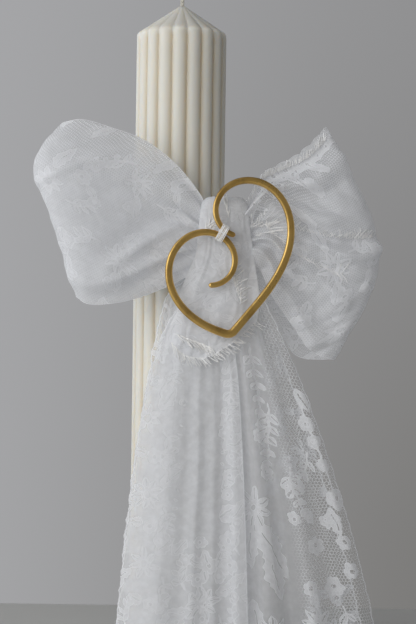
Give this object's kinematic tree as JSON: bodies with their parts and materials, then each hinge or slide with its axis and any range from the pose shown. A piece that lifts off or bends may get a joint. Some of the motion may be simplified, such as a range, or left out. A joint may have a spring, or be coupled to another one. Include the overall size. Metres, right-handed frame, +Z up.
{
  "type": "unity candle",
  "caption": "Ribbed pillar candle dressed with a large lace bow, long lace tails and a brass heart scroll, for a wedding table.",
  "frame": {"origin": "centre of the candle's foot", "axes": "+Z up along the candle's wick, -Y towards the front where the bow and scroll are, +X to the viewer's right"},
  "size_m": [0.2298, 0.11, 0.462],
  "materials": {
    "wax": "smooth ivory paraffin wax, translucent at its thin edges",
    "cotton": "braided cotton",
    "tinned_steel": "dull tinned sheet and wire",
    "satin": "white satin ribbon",
    "lace": "white floral lace on fine net with eyelash edges",
    "brass": "polished brass wire"
  },
  "bodies": {
    "candle": {"wax_body": "wax", "wick": "cotton", "wick_sustainer": "tinned_steel"},
    "band": {"satin_band": "satin"},
    "bow": {"lace_sash": "lace", "floral_wire": "tinned_steel", "loop_left": "lace", "loop_right": "lace", "knot_wrap": "lace", "tail_back_left": "lace", "tail_back_right": "lace", "tail_front_left": "lace", "tail_front_right": "lace", "tie_stitch": "cotton"},
    "scroll": {"brass_scroll": "brass", "scroll_binding": "cotton"}
  },
  "joints": [
    {"name": "bow_slide", "type": "slide", "parent": "candle", "child": "band", "axis": [0, 0, 1], "range_m": [0, 0.21]},
    {"name": "bow_turn", "type": "hinge", "parent": "band", "child": "bow", "pos_m": [0, 0, 0.29], "axis": [0, 0, 1], "continuous": true},
    {"name": "scroll_swing", "type": "hinge", "parent": "bow", "child": "scroll", "pos_m": [0.0284, -0.066, 0.2962], "axis": [0, 1, 0], "range_deg": [-9, 9]}
  ]
}
